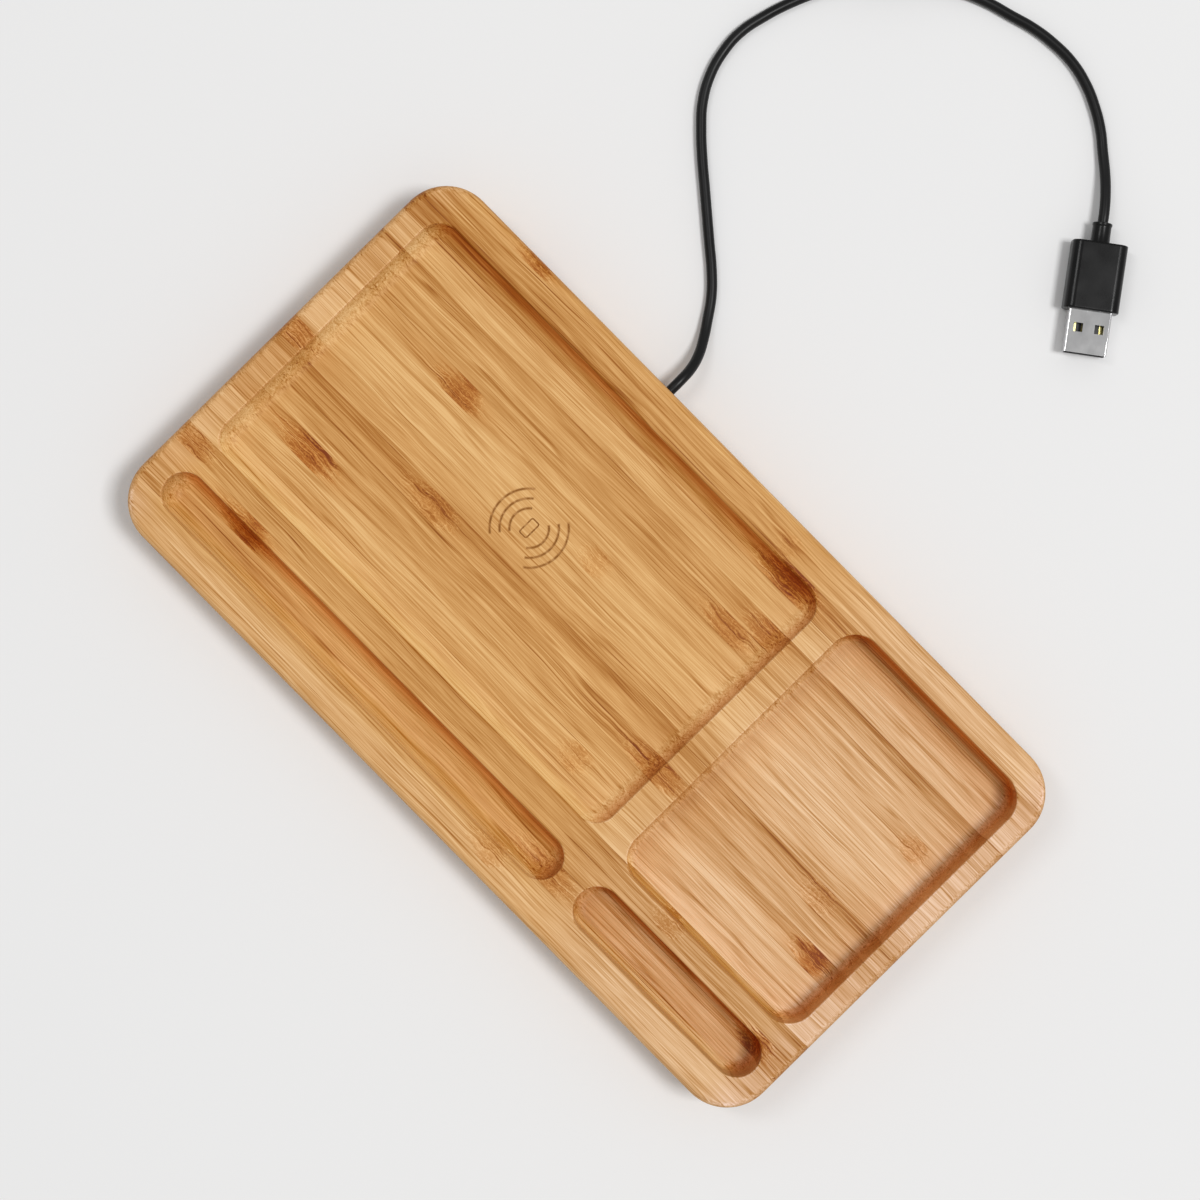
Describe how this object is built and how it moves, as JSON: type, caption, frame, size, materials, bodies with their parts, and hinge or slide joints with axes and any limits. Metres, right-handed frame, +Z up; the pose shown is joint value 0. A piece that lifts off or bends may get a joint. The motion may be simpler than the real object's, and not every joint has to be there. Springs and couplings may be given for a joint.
{
  "type": "wireless charging desk tray",
  "caption": "Bamboo desk tray with a phone recess over a wireless charging coil, a box pocket, a pen groove and a clip groove, with a captive power cord.",
  "frame": {"origin": "on the desk under the middle of the tray, at the lower faces of the feet", "axes": "+X along the tray from the charging side to the box pocket, +Y to the edge that the cord leaves, +Z up"},
  "size_m": [0.24, 0.2915, 0.02],
  "materials": {
    "bamboo": "satin oiled laminated bamboo, strips along X",
    "cover_plastic": "fine textured",
    "screw_steel": "zinc plated",
    "foot_rubber": "matt",
    "tape": "matt",
    "copper": "enamelled copper litz",
    "ferrite": "matt sintered",
    "film": "amber film",
    "board": "solder mask",
    "chip_plastic": "moulded",
    "inductor": "pressed powder",
    "capacitor_tan": "sintered",
    "crystal_metal": "stamped lid",
    "led_white": "clear",
    "wire_red": "smooth",
    "wire_black": "smooth",
    "wire_green": "smooth",
    "wire_white": "smooth",
    "clamp_plastic": "moulded nylon",
    "cord_jacket": "satin PVC",
    "tie_fabric": "woven hook-and-loop strap",
    "plug_plastic": "satin overmould",
    "plug_steel": "nickel-plated sheet",
    "tongue_plastic": "moulded",
    "contact_gold": "gold-plated"
  },
  "bodies": {
    "root": {"tray": "bamboo", "bottom_cover": "cover_plastic", "cover_screws": "screw_steel", "foot_front_left": "foot_rubber", "foot_front_right": "foot_rubber", "foot_rear_left": "foot_rubber", "foot_rear_right": "foot_rubber", "coil_tape": "tape", "charging_coil": "copper", "coil_leads": "copper", "ferrite_plate": "ferrite", "insulating_film": "film", "circuit_board": "board", "board_screws": "screw_steel", "controller_chip": "chip_plastic", "power_transistors": "chip_plastic", "power_inductor": "inductor", "resonant_capacitors": "capacitor_tan", "filter_capacitors": "capacitor_tan", "chip_resistors": "chip_plastic", "clock_crystal": "crystal_metal", "status_leds": "led_white", "wire_red": "wire_red", "wire_black": "wire_black", "wire_green": "wire_green", "wire_white": "wire_white", "inner_cord": "cord_jacket", "cord_clamp": "clamp_plastic", "clamp_screws": "screw_steel", "cord_bushing": "foot_rubber", "cord_lead": "cord_jacket", "cord_coil": "cord_jacket", "cord_tail": "cord_jacket", "cord_tie": "tie_fabric", "plug_sleeve": "plug_plastic", "plug_grip": "plug_plastic", "plug_shell": "plug_steel", "plug_tongue": "tongue_plastic", "plug_contacts": "contact_gold"}
  },
  "joints": []
}
